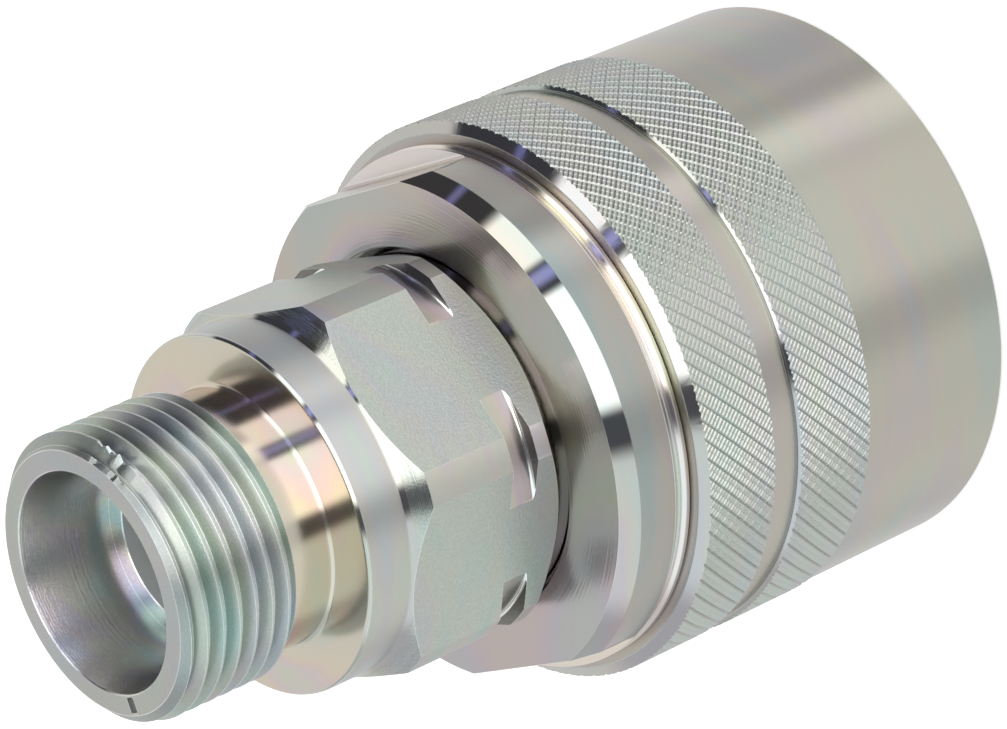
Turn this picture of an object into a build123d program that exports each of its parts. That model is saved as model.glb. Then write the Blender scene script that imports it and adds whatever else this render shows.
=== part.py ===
from build123d import *
import math
import os

# Sleeve half of a screw-to-connect hydraulic coupling, in millimetres.
# It stands on the mouth of its sleeve: +Z runs along the axis up to the port thread, Z = 0 is the mouth.
# The wrench flats of the flange face +Y and -Y.

# Running and seating clearances
running_gap = 0.05      # radial, shaft in a bearing bore
seat_gap = 0.05         # radial, a piece that is pushed or screwed into another
thrust_gap = 0.3        # axial play of the sleeve, at each end
valve_gap = 0.2         # between the closed valve and its seat, measured square to the cone
soft_gap = 0.3          # between an elastomer ring and the piece that moves past it
cutter_reach = 1.0      # how far a cutter starts outside the piece

# Union sleeve
sleeve_length = 42.8
union_thread_radius = 24.4      # minor radius of M52 x 3
union_thread_length = 23.9
sleeve_wall = 5.35              # from the thread's minor radius to the smooth land
land_length = 19.95
lower_knurl_length = 9.95
upper_knurl_length = 8.85
knurl_step = 0.25               # how far the knurled bands stand above the land
grip_groove_depth = 0.4         # below the land
grip_groove_chamfer = 0.5       # height of the slope from the knurl's edge to the groove
sleeve_nose_width = 1.2
sleeve_nose_height = 0.65
mouth_edge = 0.4
mouth_chamfer = 2.6
union_relief_depth = 1.9
bearing_length = 10.8
bearing_chamfer = 0.5

# Valve body: flange
flange_chamfer_width = 1.1
flange_chamfer_height = 1.95
flange_band_height = 5.45
flange_edge = 0.8
wrench_flat_depth = 2.4         # 51 mm across the flats
wrench_flat_end = 0.7           # height of the band that stays round behind the flats
wrench_cutter_radius = 0.5
rim_groove_height = 0.25
rim_groove_depth = 1.2
wiper_height = 0.9
wiper_width = 1.9
wiper_edge = 0.4
thrust_washer_thickness = 1.0
thrust_washer_width = 3.95
thrust_washer_wall = 1.0        # rim of the body between the washer and the wiper ring

# Valve body: barrel and nose
barrel_radius = 21.0
barrel_below_circlip = 3.0
nose_radius = 19.0
nose_recess = 4.0               # from the sleeve's mouth to the nose's front face
nose_edge = 1.0
throat_radius = 11.0
throat_length = 3.5
chamber_radius = 14.0
chamber_length = 17.5           # from the seat cone to the guide's shoulder
guide_pocket_radius = 15.0
seal_bore_radius = 15.5
seal_bore_length = 6.0
guide_circlip_room = 0.8        # from the guide's circlip to the seal bore
adapter_thread_radius = 17.0
adapter_thread_length = 8.0
collar_radius = 18.7
collar_mouth_chamfer = 0.95

# End adapter
adapter_stand_off = 0.85        # gap between flange face and hexagon
hex_size = 38.0
hex_length = 18.9
hex_turn = 6.1                  # how far the hexagon is turned from the flange's flats
hex_corner_radius_top = 21.2
hex_corner_radius_bottom = 21.7
hex_chamfer_height = 2.0
corner_groove_radius = 19.5
corner_groove_width = 3.2
corner_groove_height = 3.5      # from the hexagon's lower end to the groove
band_radius = 18.85
band_length = 5.45
band_edge = 0.5
neck_radius = 13.45
neck_length = 5.15
neck_fillet = 0.65
port_thread_radius = 15.0       # M30 x 2
port_thread_length = 13.9
port_thread_chamfer = 1.4
cone_radius = 11.45
cone_half_angle = 12.0
tube_radius = 10.0
tube_socket_depth = 10.0
port_bore_radius = 8.0
stem_room_radius = 12.0
stem_room_length = 12.0

# Seals
o_ring_section = 2.4
backup_thickness = 1.2
backup_clearance = 0.1
nose_o_ring_stand_out = 0.2
nose_groove_height = 8.0        # from the nose's front face to its groove
dust_ring_section = 2.0
dust_groove_width = 2.6
dust_ring_height = 5.0          # from the sleeve's bearing shoulder to the dust ring's middle

# Circlips
sleeve_circlip_thickness = 1.5
sleeve_circlip_depth = 1.2
sleeve_circlip_stand_out = 2.6
sleeve_circlip_eye_radius = 0.9
guide_circlip_thickness = 1.2
guide_circlip_depth = 1.0
guide_circlip_bore = 12.8
guide_circlip_eye_radius = 0.8
stem_circlip_thickness = 0.8
stem_circlip_depth = 0.5
stem_circlip_radius = 5.8
stem_circlip_eye_radius = 0.4
eye_wall = 0.5                  # metal between an eye and the ring's free edge
circlip_opening = 40.0          # degrees
circlip_eye_turn = 8.0          # degrees, from an end of the ring to its eye

# Poppet, its seal and its spring
poppet_recess = 0.3             # from the nose's front face to the poppet
poppet_front_gap = 0.4          # around the poppet's front in the throat
poppet_front_edge = 0.8
poppet_back_height = 5.0        # from the nose's front face to the back of the poppet's head
poppet_seal_thickness = 1.8
poppet_seal_radius = 13.3
poppet_seal_chamfer = 1.2
retainer_thickness = 1.4
retainer_radius = 12.6
nut_size = 13.0
nut_height = 3.5
nut_chamfer = 0.6
stem_radius = 4.0
stem_beyond_guide = 3.0
spring_wire_radius = 0.8
spring_radius = 9.6
spring_turns = 4.5
spring_washer_thickness = 1.0
spring_washer_radius = 12.0

# Valve guide
guide_thickness = 3.5
guide_hub_radius = 6.5
bush_radius = 5.0
window_inner_radius = 7.6
window_outer_radius = 12.4
window_count = 4
window_web_angle = 24.0

# Heights and radii that follow from the sizes above
bearing_z = sleeve_length - bearing_length
body_foot_z = sleeve_length + thrust_gap
wiper_top_z = body_foot_z + wiper_height
band_foot_z = wiper_top_z + rim_groove_height
chamfer_foot_z = band_foot_z + flange_band_height
flange_top_z = chamfer_foot_z + flange_chamfer_height
hex_foot_z = flange_top_z + adapter_stand_off
hex_top_z = hex_foot_z + hex_length
band_top_z = hex_top_z + band_length
thread_foot_z = band_top_z + neck_length
port_z = thread_foot_z + port_thread_length

circlip_top_z = bearing_z - thrust_gap
circlip_foot_z = circlip_top_z - sleeve_circlip_thickness
seat_cone_foot_z = nose_recess + throat_length
seat_cone_top_z = seat_cone_foot_z + chamber_radius - throat_radius
guide_foot_z = seat_cone_top_z + chamber_length
guide_top_z = guide_foot_z + guide_thickness
guide_circlip_top_z = guide_top_z + guide_circlip_thickness
seal_bore_foot_z = guide_circlip_top_z + guide_circlip_room
thread_bore_foot_z = seal_bore_foot_z + seal_bore_length
collar_foot_z = thread_bore_foot_z + adapter_thread_length
poppet_back_z = nose_recess + poppet_back_height
seal_top_z = poppet_back_z + poppet_seal_thickness
retainer_top_z = seal_top_z + retainer_thickness
spring_top_z = guide_foot_z - spring_washer_thickness
stem_top_z = guide_top_z + stem_beyond_guide

land_radius = union_thread_radius + sleeve_wall
knurl_radius = land_radius + knurl_step
grip_groove_radius = land_radius - grip_groove_depth
sleeve_nose_radius = knurl_radius - sleeve_nose_width
sleeve_circlip_radius = barrel_radius + sleeve_circlip_stand_out
bearing_bore_radius = barrel_radius + running_gap
thrust_washer_radius = barrel_radius + seat_gap + thrust_washer_width
flange_radius = thrust_washer_radius + thrust_washer_wall + wiper_width
flange_face_radius = flange_radius - flange_chamfer_width
o_ring_groove_depth = o_ring_section - nose_o_ring_stand_out
o_ring_groove_width = o_ring_section + backup_thickness + 2 * backup_clearance


def turned(*profile):
    """Solid of revolution about Z from (radius, height) points in order."""
    points = [(radius, 0, height) for radius, height in profile]
    return revolve(make_face(Polyline(*points, close=True)), Axis.Z)


def tube(outer, inner, foot, top):
    """Plain ring between two radii and two heights."""
    return turned((inner, foot), (outer, foot), (outer, top), (inner, top))


def rim(part, radius, height):
    """The circular edges of a part at one radius and height."""
    circles = part.edges().filter_by(GeomType.CIRCLE)
    return circles.filter_by(lambda edge: math.isclose(edge.radius, radius, abs_tol=0.001)
                             and math.isclose(edge.arc_center.Z, height, abs_tol=0.001))


def hexagon(size, foot, height, turn=0.0):
    """Hexagonal prism with two of its flats square to Y."""
    outline = RegularPolygon(size / 2, 6, major_radius=False, rotation=turn)
    return Pos(0, 0, foot) * extrude(outline, height)


def o_ring(groove_radius, section, middle):
    """Round ring that lies on the floor of a groove."""
    return Pos(0, 0, middle) * Torus(groove_radius + section / 2, section / 2)


def circlip(outer, inner, foot, thickness, eye_radius, eye_at):
    """Open ring with an eye for the pliers on each side of its opening."""
    ring = tube(outer, inner, foot, foot + thickness)
    reach = outer + thickness
    wedge = Polyline((0, 0), (reach, -reach * math.tan(math.radians(circlip_opening / 2))),
                     (reach, reach * math.tan(math.radians(circlip_opening / 2))), close=True)
    ring -= Pos(0, 0, foot) * extrude(make_face(wedge), thickness)
    for side in (-1, 1):
        eye = Rot(0, 0, side * (circlip_opening / 2 + circlip_eye_turn)) * Pos(eye_at, 0, foot)
        ring -= eye * extrude(Circle(eye_radius), thickness)
    return ring


def union_sleeve():
    """Turned sleeve: two knurled bands, a smooth land and the union thread's bore."""
    lower_knurl_top = land_length + lower_knurl_length
    upper_knurl_foot = sleeve_length - sleeve_nose_height - upper_knurl_length
    thread_foot = mouth_chamfer
    thread_top = thread_foot + union_thread_length
    relief_radius = union_thread_radius + union_relief_depth
    sleeve = turned(
        (union_thread_radius + mouth_chamfer, 0),
        (land_radius, 0),
        (land_radius, land_length - knurl_step),
        (knurl_radius, land_length),
        (knurl_radius, lower_knurl_top - grip_groove_chamfer),
        (grip_groove_radius, lower_knurl_top),
        (grip_groove_radius, upper_knurl_foot),
        (knurl_radius, upper_knurl_foot),
        (knurl_radius, upper_knurl_foot + upper_knurl_length),
        (sleeve_nose_radius, sleeve_length),
        (bearing_bore_radius + bearing_chamfer, sleeve_length),
        (bearing_bore_radius, sleeve_length - bearing_chamfer),
        (bearing_bore_radius, bearing_z + bearing_chamfer),
        (bearing_bore_radius + bearing_chamfer, bearing_z),
        (relief_radius, bearing_z),
        (relief_radius, thread_top + union_relief_depth),
        (union_thread_radius, thread_top),
        (union_thread_radius, thread_foot))
    return fillet(rim(sleeve, land_radius, 0), mouth_edge)


def valve_body():
    """Flange, barrel and nose in one turned piece, with the valve's seat in the nose."""
    barrel_foot = circlip_foot_z - barrel_below_circlip
    body = turned(
        (throat_radius, nose_recess),
        (nose_radius - nose_edge, nose_recess),
        (nose_radius, nose_recess + nose_edge),
        (nose_radius, barrel_foot - barrel_radius + nose_radius),
        (barrel_radius, barrel_foot),
        (barrel_radius, circlip_foot_z),
        (barrel_radius - sleeve_circlip_depth, circlip_foot_z),
        (barrel_radius - sleeve_circlip_depth, circlip_top_z),
        (barrel_radius, circlip_top_z),
        (barrel_radius, body_foot_z + thrust_washer_thickness),
        (thrust_washer_radius, body_foot_z + thrust_washer_thickness),
        (thrust_washer_radius, body_foot_z),
        (flange_radius - wiper_width, body_foot_z),
        (flange_radius - wiper_width, wiper_top_z),
        (flange_radius - rim_groove_depth, wiper_top_z),
        (flange_radius - rim_groove_depth, band_foot_z),
        (flange_radius, band_foot_z),
        (flange_radius, chamfer_foot_z),
        (flange_face_radius, flange_top_z),
        (collar_radius + seat_gap + collar_mouth_chamfer, flange_top_z),
        (collar_radius + seat_gap, flange_top_z - collar_mouth_chamfer),
        (collar_radius + seat_gap, collar_foot_z),
        (adapter_thread_radius + seat_gap, collar_foot_z),
        (adapter_thread_radius + seat_gap, thread_bore_foot_z),
        (seal_bore_radius, thread_bore_foot_z),
        (seal_bore_radius, seal_bore_foot_z),
        (guide_pocket_radius, seal_bore_foot_z),
        (guide_pocket_radius, guide_circlip_top_z),
        (guide_pocket_radius + guide_circlip_depth, guide_circlip_top_z),
        (guide_pocket_radius + guide_circlip_depth, guide_top_z),
        (guide_pocket_radius, guide_top_z),
        (guide_pocket_radius, guide_foot_z),
        (chamber_radius, guide_foot_z),
        (chamber_radius, seat_cone_top_z),
        (throat_radius, seat_cone_foot_z))
    body = fillet(rim(body, flange_radius, band_foot_z), flange_edge)

    nose_groove_foot = nose_groove_z()
    body -= tube(nose_radius + cutter_reach, nose_radius - o_ring_groove_depth,
                 nose_groove_foot, nose_groove_foot + o_ring_groove_width)
    dust_groove_foot = dust_ring_z() - dust_groove_width / 2
    body -= tube(barrel_radius + cutter_reach, dust_groove_radius(),
                 dust_groove_foot, dust_groove_foot + dust_groove_width)

    for side in (0, 180):
        body -= Rot(0, 0, side) * wrench_cut()
    return body


def wrench_cut():
    """Cutter for the flat that faces +Y, with the milling cutter's corner radius at its foot."""
    flat = flange_radius - wrench_flat_depth
    foot = band_foot_z + wrench_flat_end
    far = flange_radius + cutter_reach
    top = flange_top_z + cutter_reach
    outline = make_face(Polyline((flat, foot), (far, foot), (far, top), (flat, top), close=True))
    outline = fillet(outline.vertices().sort_by(SortBy.DISTANCE)[0], wrench_cutter_radius)
    return Plane.YZ * extrude(outline, flange_radius, both=True)


def wiper_ring():
    """Thin ring with rounded rims, pushed on the body behind the flange."""
    ring = tube(flange_radius, flange_radius - wiper_width, body_foot_z, wiper_top_z)
    rims = rim(ring, flange_radius, body_foot_z) + rim(ring, flange_radius, wiper_top_z)
    return fillet(rims, wiper_edge)


def thrust_washer():
    """Flat washer in the recess that faces the sleeve's end."""
    return tube(thrust_washer_radius, barrel_radius + seat_gap,
                body_foot_z, body_foot_z + thrust_washer_thickness)


def sleeve_circlip():
    """External circlip on the barrel that the sleeve's bearing shoulder stops against."""
    return circlip(sleeve_circlip_radius, barrel_radius - sleeve_circlip_depth, circlip_foot_z,
                   sleeve_circlip_thickness, sleeve_circlip_eye_radius,
                   sleeve_circlip_radius - sleeve_circlip_eye_radius - eye_wall)


def end_adapter():
    """Port thread, neck, band and hexagon, with the threaded and sealed spigot below them."""
    cone_depth = (cone_radius - tube_radius) / math.tan(math.radians(cone_half_angle))
    spigot_foot = seal_bore_foot_z + seat_gap
    groove_foot_z = adapter_groove_z()
    groove_radius = seal_bore_radius - o_ring_section
    outside = turned(
        (stem_room_radius, spigot_foot),
        (seal_bore_radius - seat_gap, spigot_foot),
        (seal_bore_radius - seat_gap, groove_foot_z),
        (groove_radius, groove_foot_z),
        (groove_radius, groove_foot_z + o_ring_groove_width),
        (seal_bore_radius - seat_gap, groove_foot_z + o_ring_groove_width),
        (seal_bore_radius - seat_gap, thread_bore_foot_z + seat_gap),
        (adapter_thread_radius, thread_bore_foot_z + seat_gap),
        (adapter_thread_radius, collar_foot_z + seat_gap),
        (collar_radius, collar_foot_z + seat_gap),
        (collar_radius, hex_foot_z),
        (hex_size / 2, hex_foot_z),
        (hex_corner_radius_bottom, hex_foot_z + hex_chamfer_height),
        (hex_corner_radius_bottom, hex_foot_z + corner_groove_height),
        (corner_groove_radius, hex_foot_z + corner_groove_height),
        (corner_groove_radius, hex_foot_z + corner_groove_height + corner_groove_width),
        (hex_corner_radius_bottom, hex_foot_z + corner_groove_height + corner_groove_width),
        (hex_corner_radius_top, hex_top_z - hex_chamfer_height),
        (band_radius, hex_top_z),
        (band_radius, band_top_z),
        (neck_radius, band_top_z),
        (neck_radius, thread_foot_z),
        (port_thread_radius, thread_foot_z),
        (port_thread_radius, port_z - port_thread_chamfer),
        (port_thread_radius - port_thread_chamfer, port_z),
        (cone_radius, port_z),
        (tube_radius, port_z - cone_depth),
        (tube_radius, port_z - tube_socket_depth),
        (port_bore_radius, port_z - tube_socket_depth),
        (port_bore_radius, spigot_foot + stem_room_length + stem_room_radius - port_bore_radius),
        (stem_room_radius, spigot_foot + stem_room_length))
    outside = fillet(rim(outside, band_radius, band_top_z), band_edge)
    outside = fillet(rim(outside, neck_radius, band_top_z), neck_fillet)
    spigot = tube(collar_radius, 0, spigot_foot, hex_foot_z)
    wrench_hex = hexagon(hex_size, hex_foot_z, hex_length, -hex_turn)
    port = tube(band_radius, 0, hex_top_z, port_z)
    return outside & (spigot + wrench_hex + port)


def adapter_groove_z():
    """Foot of the seal groove on the adapter's spigot."""
    return seal_bore_foot_z + (seal_bore_length - o_ring_groove_width) / 2


def nose_groove_z():
    """Foot of the seal groove on the nose."""
    return nose_recess + nose_groove_height


def dust_ring_z():
    """Middle of the dust ring inside the sleeve's bearing bore."""
    return bearing_z + dust_ring_height


def dust_groove_radius():
    """Floor of the dust ring's groove: the ring stays clear of the turning sleeve."""
    return bearing_bore_radius - soft_gap - dust_ring_section


def adapter_o_ring():
    """O-ring on the adapter's spigot, above its backup ring."""
    middle = adapter_groove_z() + backup_thickness + 2 * backup_clearance + o_ring_section / 2
    return o_ring(seal_bore_radius - o_ring_section, o_ring_section, middle)


def adapter_backup_ring():
    """Flat ring that backs the adapter's O-ring up."""
    foot = adapter_groove_z() + backup_clearance
    return tube(seal_bore_radius, seal_bore_radius - o_ring_section, foot, foot + backup_thickness)


def nose_o_ring():
    """O-ring on the nose that seals in the mating half."""
    middle = nose_groove_z() + o_ring_section / 2
    return o_ring(nose_radius - o_ring_groove_depth, o_ring_section, middle)


def nose_backup_ring():
    """Flat ring that backs the nose's O-ring up."""
    foot = nose_groove_z() + o_ring_section + backup_clearance
    return tube(nose_radius, nose_radius - o_ring_groove_depth, foot, foot + backup_thickness)


def dust_o_ring():
    """O-ring between barrel and sleeve that keeps dirt out."""
    return o_ring(dust_groove_radius(), dust_ring_section, dust_ring_z())


def poppet():
    """Front disc, sealing cone and stem in one turned piece."""
    front_radius = throat_radius - poppet_front_gap
    # height of the poppet's cone below the seat's, for the gap square to a 45 degree cone
    drop = valve_gap * math.sqrt(2)
    cone_foot = seat_cone_foot_z + drop - poppet_front_gap
    back_radius = front_radius + poppet_back_z - cone_foot
    clip_foot = stem_clip_z()
    return turned(
        (0, nose_recess + poppet_recess),
        (front_radius - poppet_front_edge, nose_recess + poppet_recess),
        (front_radius, nose_recess + poppet_recess + poppet_front_edge),
        (front_radius, cone_foot),
        (back_radius, poppet_back_z),
        (stem_radius, poppet_back_z),
        (stem_radius, clip_foot),
        (stem_radius - stem_circlip_depth, clip_foot),
        (stem_radius - stem_circlip_depth, clip_foot + stem_circlip_thickness),
        (stem_radius, clip_foot + stem_circlip_thickness),
        (stem_radius, stem_top_z - stem_circlip_depth),
        (stem_radius - stem_circlip_depth, stem_top_z),
        (0, stem_top_z))


def stem_clip_z():
    """Foot of the circlip near the stem's end."""
    return stem_top_z - 2 * stem_circlip_thickness


def poppet_seal():
    """Elastomer ring behind the poppet's head, chamfered like the seat."""
    return turned(
        (stem_radius, poppet_back_z),
        (poppet_seal_radius - poppet_seal_chamfer, poppet_back_z),
        (poppet_seal_radius, poppet_back_z + poppet_seal_chamfer),
        (poppet_seal_radius, seal_top_z),
        (stem_radius, seal_top_z))


def seal_retainer():
    """Washer that holds the poppet's seal and carries the spring."""
    return tube(retainer_radius, stem_radius, seal_top_z, retainer_top_z)


def retainer_nut():
    """Hexagon nut on the stem, with its corners turned down."""
    nut = hexagon(nut_size, retainer_top_z, nut_height)
    corner = nut_size / math.sqrt(3)
    top = retainer_top_z + nut_height
    nut &= turned((stem_radius, retainer_top_z), (corner, retainer_top_z), (corner, top - nut_chamfer),
                  (nut_size / 2, top), (stem_radius, top))
    return nut


def valve_spring():
    """Compression spring with ground ends, between the retainer and the spring washer."""
    length = spring_top_z - retainer_top_z
    pitch = length / spring_turns
    path = Helix(pitch, length, spring_radius)
    wire = Plane(origin=path @ 0, z_dir=path % 0) * Circle(spring_wire_radius)
    coil = Pos(0, 0, retainer_top_z) * sweep(wire, path, is_frenet=True)
    return coil & tube(spring_radius + pitch, spring_radius - pitch, retainer_top_z, spring_top_z)


def spring_washer():
    """Washer between the spring and the guide."""
    return tube(spring_washer_radius, bush_radius, spring_top_z, guide_foot_z)


def valve_guide():
    """Round plate with a hub bore and flow windows, on a shoulder of the body."""
    guide = tube(guide_pocket_radius - seat_gap, bush_radius, guide_foot_z, guide_top_z)
    window_angle = 360 / window_count - window_web_angle
    ring = Circle(window_outer_radius) - Circle(window_inner_radius)
    reach = guide_pocket_radius * 2
    half = math.radians(window_angle / 2)
    sector = make_face(Polyline((0, 0), (reach * math.cos(half), -reach * math.sin(half)),
                                (reach * math.cos(half), reach * math.sin(half)), close=True))
    window = Pos(0, 0, guide_foot_z) * extrude(ring & sector, guide_thickness)
    for number in range(window_count):
        guide -= Rot(0, 0, number * 360 / window_count) * window
    return guide


def guide_bush():
    """Bearing bush of the stem."""
    return tube(bush_radius, stem_radius + running_gap, guide_foot_z, guide_top_z)


def guide_circlip():
    """Internal circlip over the guide."""
    return circlip(guide_pocket_radius + guide_circlip_depth, guide_circlip_bore, guide_top_z,
                   guide_circlip_thickness, guide_circlip_eye_radius,
                   guide_circlip_bore + guide_circlip_eye_radius + eye_wall)


def stem_circlip():
    """Small circlip near the end of the stem."""
    return circlip(stem_circlip_radius, stem_radius - stem_circlip_depth, stem_clip_z(),
                   stem_circlip_thickness, stem_circlip_eye_radius,
                   stem_circlip_radius - stem_circlip_eye_radius - eye_wall)


pieces = [end_adapter, adapter_o_ring, adapter_backup_ring, valve_body, wiper_ring, thrust_washer,
          union_sleeve, sleeve_circlip, dust_o_ring, nose_o_ring, nose_backup_ring, poppet, poppet_seal,
          seal_retainer, retainer_nut, valve_spring, spring_washer, valve_guide, guide_bush,
          guide_circlip, stem_circlip]

os.makedirs("parts", exist_ok=True)
for piece in pieces:
    export_step(piece(), f"parts/{piece.__name__}.step")
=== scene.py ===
import math

import bpy
from mathutils import Matrix, Vector, noise


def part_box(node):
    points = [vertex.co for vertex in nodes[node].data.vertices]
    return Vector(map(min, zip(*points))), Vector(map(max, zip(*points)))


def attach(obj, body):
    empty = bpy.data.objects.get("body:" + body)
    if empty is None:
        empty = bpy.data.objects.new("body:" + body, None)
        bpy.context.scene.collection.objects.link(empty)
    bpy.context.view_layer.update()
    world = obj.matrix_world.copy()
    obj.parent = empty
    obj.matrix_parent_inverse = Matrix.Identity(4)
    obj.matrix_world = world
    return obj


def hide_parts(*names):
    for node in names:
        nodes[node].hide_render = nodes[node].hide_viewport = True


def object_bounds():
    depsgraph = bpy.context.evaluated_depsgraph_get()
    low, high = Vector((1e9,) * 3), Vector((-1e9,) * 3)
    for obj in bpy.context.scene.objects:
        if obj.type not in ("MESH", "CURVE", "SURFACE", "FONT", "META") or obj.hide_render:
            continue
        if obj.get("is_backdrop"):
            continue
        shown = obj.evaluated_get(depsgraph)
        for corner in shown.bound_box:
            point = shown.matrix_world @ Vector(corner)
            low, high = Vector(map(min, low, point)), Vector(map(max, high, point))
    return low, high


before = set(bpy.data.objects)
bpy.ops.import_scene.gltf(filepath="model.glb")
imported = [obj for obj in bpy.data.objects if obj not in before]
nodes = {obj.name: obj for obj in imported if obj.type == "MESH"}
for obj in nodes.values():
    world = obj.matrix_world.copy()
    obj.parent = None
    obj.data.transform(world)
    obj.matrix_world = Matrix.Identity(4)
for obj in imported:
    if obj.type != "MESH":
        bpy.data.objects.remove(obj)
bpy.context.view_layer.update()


# Valve body.
# One turned steel piece, zinc plated: flange, barrel and nose. The flange's face, its polished chamfer and
# its rim show above the sleeve, with two wrench flats milled into the rim.
MM = 0.001
REAL_EDGE = math.radians(24)


def only(*pieces):
    """Selects these pieces alone, with the first one active."""
    bpy.ops.object.select_all(action="DESELECT")
    for piece in pieces:
        piece.select_set(True)
    bpy.context.view_layer.objects.active = pieces[0]


def apply_modifier(piece, kind, **settings):
    """Adds one modifier with its settings and applies it."""
    only(piece)
    modifier = piece.modifiers.new(kind.lower(), kind)
    for name, value in settings.items():
        setattr(modifier, name, value)
    bpy.ops.object.modifier_apply(modifier=modifier.name)


def break_edges(piece, width, low=-1000, high=1000, segments=2):
    """Rounds the sharp edges of a piece that lie between two heights by a small width, all in mm."""
    only(piece)
    bpy.ops.object.mode_set(mode="EDIT")
    bpy.ops.mesh.select_mode(type="EDGE")
    bpy.ops.mesh.select_all(action="DESELECT")
    bpy.ops.mesh.edges_select_sharp(sharpness=REAL_EDGE)
    bpy.ops.object.mode_set(mode="OBJECT")
    heights = [vertex.co.z / MM for vertex in piece.data.vertices]
    for edge in piece.data.edges:
        if not all(low <= heights[end] <= high for end in edge.vertices):
            edge.select = False
    bpy.ops.object.mode_set(mode="EDIT")
    bpy.ops.mesh.bevel(offset=width * MM, segments=segments, profile=0.5, affect="EDGES", clamp_overlap=True)
    bpy.ops.mesh.select_mode(type="VERT")
    bpy.ops.object.mode_set(mode="OBJECT")


def turned(name, outline, steps=256):
    """Spins a closed outline of (radius, height) points, in mm, once round Z."""
    bpy.ops.object.select_all(action="DESELECT")
    bpy.ops.mesh.primitive_circle_add(vertices=len(outline), radius=MM)
    piece = bpy.context.object
    piece.name = name
    for vertex, (radius, height) in zip(piece.data.vertices, outline):
        vertex.co = (radius * MM, 0, height * MM)
    bpy.ops.object.mode_set(mode="EDIT")
    bpy.ops.mesh.select_all(action="SELECT")
    bpy.ops.mesh.spin(steps=steps, angle=math.tau, center=(0, 0, 0), axis=(0, 0, 1))
    bpy.ops.mesh.select_all(action="SELECT")
    bpy.ops.mesh.remove_doubles(threshold=0.0005 * MM)
    bpy.ops.mesh.normals_make_consistent(inside=False)
    bpy.ops.object.mode_set(mode="OBJECT")
    return piece


def carve(piece, tool, operation="DIFFERENCE"):
    """Cuts a piece with another one, or keeps what both share, and removes the tool."""
    apply_modifier(piece, "BOOLEAN", object=tool, operation=operation, solver="EXACT")
    bpy.data.objects.remove(tool)


def soften(piece, angle=32):
    """Shades a finished piece smooth, with its broad faces kept true and its real edges crisp."""
    only(piece)
    bpy.ops.object.shade_smooth_by_angle(angle=math.radians(angle))
    apply_modifier(piece, "WEIGHTED_NORMAL", weight=50, keep_sharp=True)


def fit(piece, body, slot, material, *replaced):
    """Hangs a finished piece on its body, with its finish and the CAD nodes that it stands for."""
    piece.data.materials.clear()
    piece.data.materials.append(material)
    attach(piece, body)
    if replaced:
        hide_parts(*replaced)


def finish_part(piece, material, inner, outer, low, high):
    """Gives the faces whose middle lies between two radii and two heights, in mm, a finish of their own."""
    piece.data.materials.append(material)
    for face in piece.data.polygons:
        radius = face.center.xy.length / MM
        if inner < radius < outer and low < face.center.z / MM < high:
            face.material_index = len(piece.data.materials) - 1


def add(tree, kind, inputs=None, **settings):
    """Adds a shader node, with its settings and with a value or a link for each named input."""
    node = tree.nodes.new(kind)
    for name, value in settings.items():
        setattr(node, name, value)
    for name, value in (inputs or {}).items():
        if isinstance(value, bpy.types.NodeSocket):
            tree.links.new(value, node.inputs[name])
        else:
            node.inputs[name].default_value = value
    return node


def group(name, inputs, outputs):
    """Starts a shader node group with float or colour inputs and returns its tree and its input sockets."""
    tree = bpy.data.node_groups.new(name, "ShaderNodeTree")
    for socket, value in inputs.items():
        kind = "NodeSocketColor" if isinstance(value, tuple) else "NodeSocketFloat"
        tree.interface.new_socket(socket, in_out="INPUT", socket_type=kind).default_value = value
    for socket, kind in outputs.items():
        tree.interface.new_socket(socket, in_out="OUTPUT", socket_type=kind)
    return tree, tree.nodes.new("NodeGroupInput").outputs


def math_node(tree, operation, first, second=0.0, third=0.0, clamp=False):
    """One Math node and its output."""
    return add(tree, "ShaderNodeMath", {0: first, 1: second, 2: third}, operation=operation,
               use_clamp=clamp).outputs[0]


def lathe_frame(tree):
    """Direction round the axis of a surface point, and a distance in mm that grows along every profile."""
    place = add(tree, "ShaderNodeTexCoord").outputs["Object"]
    split = add(tree, "ShaderNodeSeparateXYZ", {0: place}).outputs
    across = add(tree, "ShaderNodeCombineXYZ", {"X": split["X"], "Y": split["Y"]}).outputs[0]
    radius = add(tree, "ShaderNodeVectorMath", {0: across}, operation="LENGTH").outputs["Value"]
    round_axis = add(tree, "ShaderNodeVectorMath", {0: across}, operation="NORMALIZE").outputs[0]
    along = math_node(tree, "MULTIPLY", math_node(tree, "MULTIPLY_ADD", radius, -0.6, split["Z"]), 1 / MM)
    return round_axis, along, place


def lathe_marks_group():
    """Grooves that the turning tool leaves: lines round the axis, on cylinders, cones and faces alike."""
    tree, given = group("Lathe marks", {"Lines per mm": 3.0}, {"Height": "NodeSocketFloat"})
    round_axis, along, _ = lathe_frame(tree)
    line = math_node(tree, "MULTIPLY", along, given["Lines per mm"])
    fine = add(tree, "ShaderNodeTexNoise", {"W": line, "Scale": 1.0, "Detail": 1.0}, noise_dimensions="1D")
    slow = add(tree, "ShaderNodeTexNoise", {"Vector": round_axis, "Scale": 2.0, "Detail": 1.0})
    swell = math_node(tree, "ADD", slow.outputs["Fac"], 0.3)
    height = math_node(tree, "MULTIPLY", fine.outputs["Fac"], swell)
    out = add(tree, "NodeGroupOutput")
    tree.links.new(height, out.inputs["Height"])
    return tree


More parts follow.
